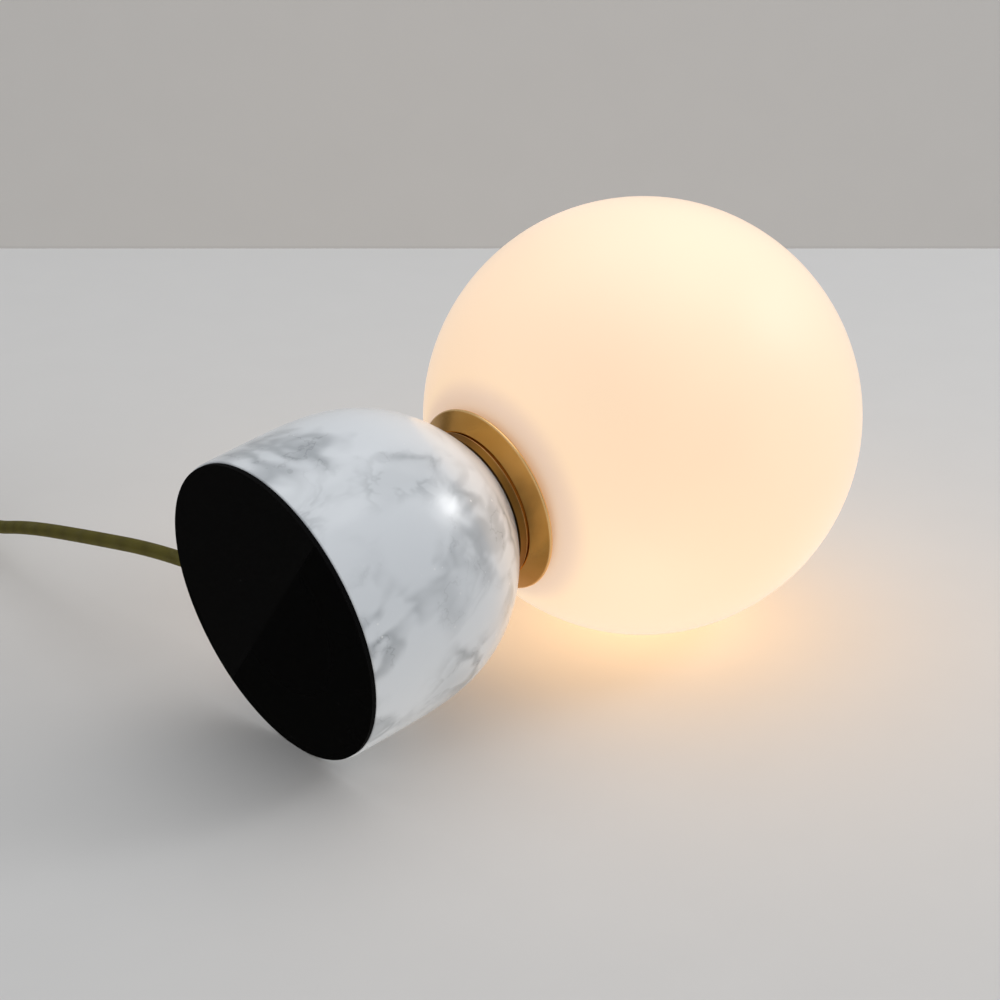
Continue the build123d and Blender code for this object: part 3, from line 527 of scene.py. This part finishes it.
def coil_points():
    """Half turns that are wound in on the table, climb, and are wound out on top."""
    inner = coil_outer - coil_half_turns * coil_step
    inward = [(coil_outer - index * coil_step, coil_low, coil_low) for index in range(coil_half_turns)]
    outward = [(inner + index * coil_step, coil_high, coil_high) for index in range(1, coil_half_turns)]
    tangent_radius = 1 / math.cos(math.pi / (2 * points_in_half_turn))
    points, reach, side = [], coil_outer, 1
    for radius, low, high in [*inward, (inner, coil_low, coil_high), *outward]:
        middle = reach - side * radius
        for index in range(points_in_half_turn):
            share = (index + 0.5) / points_in_half_turn
            along = middle + side * radius * tangent_radius * math.cos(math.pi * share)
            across = side * radius * tangent_radius * math.sin(math.pi * share)
            points.append((coil_centre.x - across, coil_centre.y + along, low + (high - low) * share))
        reach, side = middle - side * radius, -side
    return points


def plug_cord_route():
    """From the switch round to the coil, through its turns, and on to the plug."""
    return [
        on_switch(0.025),
        on_switch(0.045),
        (0.390, 0.0792, 0.005),
        (0.3878, 0.1001, 0.0038),
        (0.3767, 0.1179, 0.0035),
        (0.3486, 0.1368, coil_low),
        (0.3226, 0.1368, coil_low),
        *coil_points(),
        (0.3094, 0.1368, coil_high),
        (0.2934, 0.1368, coil_high),
        tuple(plug_bend),
        tuple(plug_tail),
    ]


def make_cords():
    plug_pieces = [nodes[name] for name in ("plug_body", "plug_pins", "plug_sleeves")]
    plug_pieces += [make_plug_grip(), make_relief(), make_tie()]
    lamp_cord = cord_line("cord_to_switch", lamp_cord_route())
    plug_cord = cord_line("cord_to_plug_end", plug_cord_route())
    lamp_braid = make_textile("olive braid, lamp to switch", lamp_braid_length)
    finish(lamp_cord, lamp_braid)
    finish(plug_cord, make_textile("olive braid, switch to plug", plug_braid_length))
    for cord, stood_for in (
        (lamp_cord, ["cord_from_lamp"]),
        (plug_cord, ["cord_from_switch", "cord_coil", "cord_to_plug"]),
    ):
        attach(cord, "lamp")
        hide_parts(*stood_for)
    make_sheath_end(lamp_braid)


# ---- pieces on the cord

def add_piece(name, shape, material, smooth=False):
    """A piece of the lamp's body from a finished bmesh."""
    bmesh.ops.recalc_face_normals(shape, faces=shape.faces)
    mesh = bpy.data.meshes.new(name)
    shape.to_mesh(mesh)
    shape.free()
    for face in mesh.polygons:
        face.use_smooth = smooth
    piece = bpy.data.objects.new(name, mesh)
    bpy.context.scene.collection.objects.link(piece)
    finish(piece, material)
    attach(piece, "lamp")
    return piece


def add_block(shape, low, high):
    """A block between two corners, added to the shape. Its vertices are returned."""
    low, high = Vector(low), Vector(high)
    size, middle = high - low, (low + high) / 2
    place = Matrix.Translation(middle) @ Matrix.Diagonal((*size, 1.0))
    return bmesh.ops.create_cube(shape, size=1.0, matrix=place)["verts"]


def soften(shape, edges, radius, segments):
    bmesh.ops.bevel(
        shape, geom=edges, offset=radius, segments=segments, profile=0.5, affect="EDGES", material=-1
    )


def lengthwise(edge, axis):
    return abs((edge.verts[0].co - edge.verts[1].co).normalized().dot(axis)) > 0.99


def make_tie():
    """The strap round the coil, with its free end pressed down on top."""
    low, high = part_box("cord_tie")
    across = Vector((0, 1, 0))
    shape = bmesh.new()
    add_block(shape, low, high)
    soften(shape, [edge for edge in shape.edges if lengthwise(edge, across)], strap_corner, 6)
    ends = [face for face in shape.faces if abs(face.normal.y) > 0.99]
    bmesh.ops.delete(shape, geom=ends, context="FACES")
    bmesh.ops.solidify(shape, geom=shape.faces[:], thickness=strap_thickness)
    flap_low = Vector((low.x, low.y, high.z - flap_sunk)) + flap_inset
    flap_high = Vector((high.x, high.y, high.z + strap_thickness)) - flap_inset
    flap = add_block(shape, flap_low, flap_high)
    flap_edges = {edge for vertex in flap for edge in vertex.link_edges}
    soften(shape, list(flap_edges), strap_thickness / 3, 3)
    strap = add_piece("cord_strap", shape, finishes["black_strap"], smooth=True)
    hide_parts("cord_tie")
    return strap


def plug_axes():
    """From the plug's own axes: forwards from the tail of its body, to its left, and up."""
    up = Vector((0, 0, 1))
    axes = Matrix((plug_heading, up.cross(plug_heading), up)).transposed()
    return Matrix.Translation(plug_tail) @ axes.to_4x4()


def make_plug_grip():
    """Raised ribs on the slanting sides of the plug's body."""
    shape = bmesh.new()
    slant = math.atan2((plug_width - plug_tail_width) / 2, plug_length - plug_shoulder)
    for side in (1, -1):
        corner = Matrix.Translation((0, side * plug_tail_width / 2, 0))
        wall = plug_axes() @ corner @ Matrix.Rotation(side * slant, 4, "Z")
        for index in range(grip_ribs):
            along = Vector((grip_start + index * grip_pitch, 0, 0))
            rib = add_block(shape, along - grip_rib / 2, along + grip_rib / 2)
            bmesh.ops.transform(shape, matrix=wall, verts=rib)
    soften(shape, shape.edges[:], grip_rounding, 2)
    return add_piece("plug_grip", shape, finishes["black_plastic"])


def make_relief():
    """The plug's strain relief, turned: a hollow cone with rounded grooves round it."""
    narrowing = (relief_root - relief_tip) / relief_length
    outline = [(cord_radius, 0.0), (relief_root, 0.0)]
    for index in range(relief_grooves):
        start = (index + 0.5) / relief_grooves * relief_length
        radius = relief_root - narrowing * start
        width, depth = relief_groove
        outline += [(radius, start), (radius - depth, start), (radius - depth, start + width)]
        outline.append((radius - narrowing * width, start + width))
    outline += [(relief_tip, relief_length), (cord_radius, relief_length)]
    shape = bmesh.new()
    corners = [shape.verts.new((-along, radius, 0)) for radius, along in outline]
    sides = [shape.edges.new(pair) for pair in zip(corners, [*corners[1:], corners[0]])]
    bmesh.ops.spin(
        shape, geom=[*corners, *sides], cent=(0, 0, 0), axis=(1, 0, 0), angle=math.tau, steps=48,
        use_merge=True,
    )
    bmesh.ops.remove_doubles(shape, verts=shape.verts, dist=0.000001)
    sharp = [edge for edge in shape.edges if edge.calc_face_angle(0.0) > 0.5]
    soften(shape, sharp, relief_rounding, 2)
    bmesh.ops.transform(shape, matrix=plug_axes(), verts=shape.verts)
    rubber = finishes["black_rubber"]
    relief = add_piece("plug_ribbed_relief", shape, rubber, smooth=True)
    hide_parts("plug_relief")
    return relief


def make_sheath_end(material):
    """The end of the cord's sheath in the grip, inside the base."""
    start, stop = sheath_end
    shape = bmesh.new()
    middle = Matrix.Translation(((start + stop) / 2, 0, cord_exit.z))
    bmesh.ops.create_cone(
        shape, cap_ends=True, segments=40, radius1=cord_radius, radius2=cord_radius,
        depth=stop - start, matrix=middle @ Matrix.Rotation(math.pi / 2, 4, "Y"),
    )
    rim = [edge for edge in shape.edges if not lengthwise(edge, Vector((1, 0, 0)))]
    soften(shape, rim, cord_radius / 8, 3)
    add_piece("cord_sheath_end", shape, material)


# ---- the room, the lights and the camera

def in_room(right, up, away):
    """A point of the photograph's room, from the middle of the lamp's shadow on its floor."""
    foot = lamp_middle - floor_up * (lamp_middle.dot(floor_up) - floor_level)
    return foot + room_right * right + floor_up * up + room_away * away


def one_sided(name, color):
    """A matt surface that is seen from its front alone."""
    made, graph, shader = new_material(name)
    mottle = graph.noise(graph.place(), 30.0, 3.0)
    shade = tuple(0.97 * part for part in color)
    set_shader(
        graph, shader, Base_Color=graph.blend(mottle, rgb(*color), rgb(*shade)), Roughness=0.9,
        Specular_IOR_Level=0.2,
    )
    clear = graph.add("BsdfTransparent")
    behind = graph.add("NewGeometry").outputs["Backfacing"]
    both = graph.add("MixShader", {0: behind, 1: shader.outputs[0], 2: clear.outputs[0]})
    graph.put(made.node_tree.nodes["Material Output"].inputs["Surface"], both.outputs[0])
    return made


def stage_sheet(name, corners, color):
    """A flat stage surface that faces the side from which its corners run anticlockwise."""
    mesh = bpy.data.meshes.new(name)
    shape = bmesh.new()
    shape.faces.new([shape.verts.new(corner) for corner in corners])
    shape.to_mesh(mesh)
    shape.free()
    sheet = bpy.data.objects.new(name, mesh)
    bpy.context.scene.collection.objects.link(sheet)
    finish(sheet, one_sided(name, color))
    sheet.visible_diffuse = False
    sheet.visible_shadow = False


def room_sheet(name, near_edge, far_edge, color):
    """A sheet across the photograph's room, between two edges given as (up, away)."""
    corners = [
        in_room(-room_half_width, *near_edge), in_room(room_half_width, *near_edge),
        in_room(room_half_width, *far_edge), in_room(-room_half_width, *far_edge),
    ]
    stage_sheet(name, corners, color)


def make_room():
    """The upright lamp's table at Z 0, and the floor and wall that the photograph shows."""
    sight = camera_up.cross(camera_right) + camera_up * wall_foot_rise
    distance = (floor_level - camera_place.dot(floor_up)) / sight.dot(floor_up)
    wall_away = (camera_place + sight * distance - in_room(0, 0, 0)).dot(room_away)
    stage_sheet(
        "table",
        [
            (-table_reach, -table_reach, 0), (table_reach, -table_reach, 0),
            (table_reach, table_reach, 0), (-table_reach, table_reach, 0),
        ],
        (0.62, 0.62, 0.62),
    )
    room_sheet("floor", (0, room_near), (0, wall_away), (0.64, 0.64, 0.64))
    foot_away = wall_away - wall_foot_gap
    room_sheet("wall foot", (0, foot_away), (wall_foot_height, foot_away), (0.55, 0.55, 0.55))
    room_sheet("wall", (0, wall_away), (wall_height, wall_away), (0.585, 0.585, 0.585))


def area_light(name, place, size, power, color=(1.0, 1.0, 1.0)):
    """A round softbox that faces the middle of the lamp."""
    light = bpy.data.lights.new(name, "AREA")
    light.shape = "DISK"
    light.size = size
    light.energy = power
    light.color = color
    softbox = bpy.data.objects.new(name, light)
    bpy.context.scene.collection.objects.link(softbox)
    softbox.location = place
    softbox.visible_camera = False
    softbox.rotation_mode = "QUATERNION"
    softbox.rotation_quaternion = (lamp_middle - Vector(place)).to_track_quat("-Z", "Y")


def make_lights():
    area_light("side softbox", in_room(1.64, 1.18, 0.3), size=0.5, power=3.5)
    area_light("side softbox edge", in_room(1.65, 1.19, 0.3), size=1.0, power=4.7)
    area_light("overhead softbox", in_room(0.0, 1.5, 0.25), size=1.8, power=7.3)
    warm = (1.0, 0.88, 0.72)
    area_light("light from the floor", in_room(-0.1, -1.1, -0.6), size=1.0, power=5.0, color=warm)
    area_light("fill", (0.5, -1.3, 0.7), size=1.2, power=3.0)
    make_globe_glow()


def make_globe_glow():
    """The light that the globe throws on all but its own glass, which shines by itself."""
    glow = bpy.data.lights.new("globe glow", "POINT")
    glow.shadow_soft_size = globe_radius + glow_gap
    glow.use_soft_falloff = False
    glow.energy = 0.39
    glow.color = (1.0, 0.53, 0.17)
    globe_light = bpy.data.objects.new("globe glow", glow)
    bpy.context.scene.collection.objects.link(globe_light)
    globe_light.location = globe_centre
    globe_light.visible_glossy = False
    globe_light.visible_camera = False
    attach(globe_light, "globe")
    unlit = bpy.data.collections.new("not lit by the globe glow")
    unlit.objects.link(nodes["globe_glass"])
    unlit.collection_objects[0].light_linking.link_state = "EXCLUDE"
    globe_light.light_linking.receiver_collection = unlit


def make_world():
    """Even light, with a pale backdrop for camera and reflections."""
    world = bpy.data.worlds.new("studio")
    bpy.context.scene.world = world
    world.use_nodes = True
    graph = Graph(world.node_tree)
    path = graph.add("LightPath")
    seen = graph.math("MAXIMUM", path.outputs["Is Camera Ray"], path.outputs["Is Glossy Ray"])
    seen = graph.math("MAXIMUM", seen, path.outputs["Is Transmission Ray"])
    ahead = graph.add(
        "VectorMath", {0: graph.add("TexCoord").outputs["Generated"], 1: tuple(room_away)},
        operation="DOT_PRODUCT",
    ).outputs["Value"]
    mirrored = graph.blend(graph.span(ahead, -0.9, 0.2), rgb(0.2, 0.2, 0.2), rgb(0.5, 0.5, 0.495))
    shown = graph.blend(seen, rgb(0.545, 0.545, 0.545), mirrored)
    graph.put(world.node_tree.nodes["Background"].inputs["Color"], shown)


def make_camera():
    """The photograph's camera."""
    lens = bpy.data.cameras.new("camera")
    lens.lens = camera_lens
    lens.sensor_width = 36.0
    lens.clip_start, lens.clip_end = 0.05, 30.0
    camera = bpy.data.objects.new("camera", lens)
    bpy.context.scene.collection.objects.link(camera)
    axes = Matrix((camera_right, camera_up, camera_right.cross(camera_up))).transposed()
    camera.matrix_world = Matrix.Translation(camera_place) @ axes.to_4x4()
    bpy.context.scene.camera = camera


# ---- the whole

make_camera()
finish_nodes()
make_cords()
make_room()
make_lights()
make_world()
bpy.context.scene.view_settings.view_transform = "Standard"
